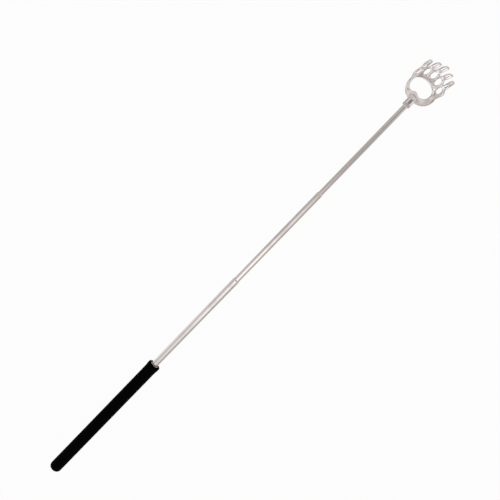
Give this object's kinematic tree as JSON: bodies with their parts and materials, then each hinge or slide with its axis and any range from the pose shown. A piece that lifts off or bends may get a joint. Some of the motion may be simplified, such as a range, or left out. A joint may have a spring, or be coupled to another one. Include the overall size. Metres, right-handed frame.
{
  "type": "back scratcher",
  "caption": "Pull-out back scratcher: a rubber grip, nested steel tubes held by friction shells, and a cast paw-shaped head with open toes and hooked claws.",
  "frame": {"origin": "on the shaft's axis, in the middle of the grip's length", "axes": "+X along the shaft towards the paw, +Z out of the palm, the way the claws point"},
  "size_m": [0.5849, 0.0404, 0.0156],
  "materials": {
    "grip_rubber": "matt black foam rubber",
    "tube_steel": "polished steel tube",
    "cast_chrome": "chromed casting",
    "shell_brass": "drawn brass",
    "plug_nylon": "moulded nylon"
  },
  "bodies": {
    "handle": {"grip_sleeve": "grip_rubber", "handle_tube": "tube_steel", "end_plug": "plug_nylon"},
    "lower_shells": {"lower_shell_left": "shell_brass", "lower_shell_right": "shell_brass"},
    "lower": {"lower_tube": "tube_steel"},
    "middle_shells": {"middle_shell_left": "shell_brass", "middle_shell_right": "shell_brass"},
    "middle": {"middle_tube": "tube_steel"},
    "upper_shells": {"upper_shell_left": "shell_brass", "upper_shell_right": "shell_brass"},
    "upper": {"upper_tube": "tube_steel", "neck_collar": "cast_chrome", "paw_head": "cast_chrome"}
  },
  "joints": [
    {"name": "lower_slide", "type": "slide", "parent": "handle", "child": "lower_shells", "axis": [-1, 0, 0], "range_m": [0, 0.124]},
    {"name": "lower_swivel", "type": "hinge", "parent": "lower_shells", "child": "lower", "pos_m": [0.08275, 0, 0], "axis": [1, 0, 0], "continuous": true},
    {"name": "middle_slide", "type": "slide", "parent": "lower", "child": "middle_shells", "axis": [-1, 0, 0], "range_m": [0, 0.118]},
    {"name": "middle_swivel", "type": "hinge", "parent": "middle_shells", "child": "middle", "pos_m": [0.20875, 0, 0], "axis": [1, 0, 0], "continuous": true},
    {"name": "upper_slide", "type": "slide", "parent": "middle", "child": "upper_shells", "axis": [-1, 0, 0], "range_m": [0, 0.114]},
    {"name": "upper_swivel", "type": "hinge", "parent": "upper_shells", "child": "upper", "pos_m": [0.33035, 0, 0], "axis": [1, 0, 0], "continuous": true}
  ]
}
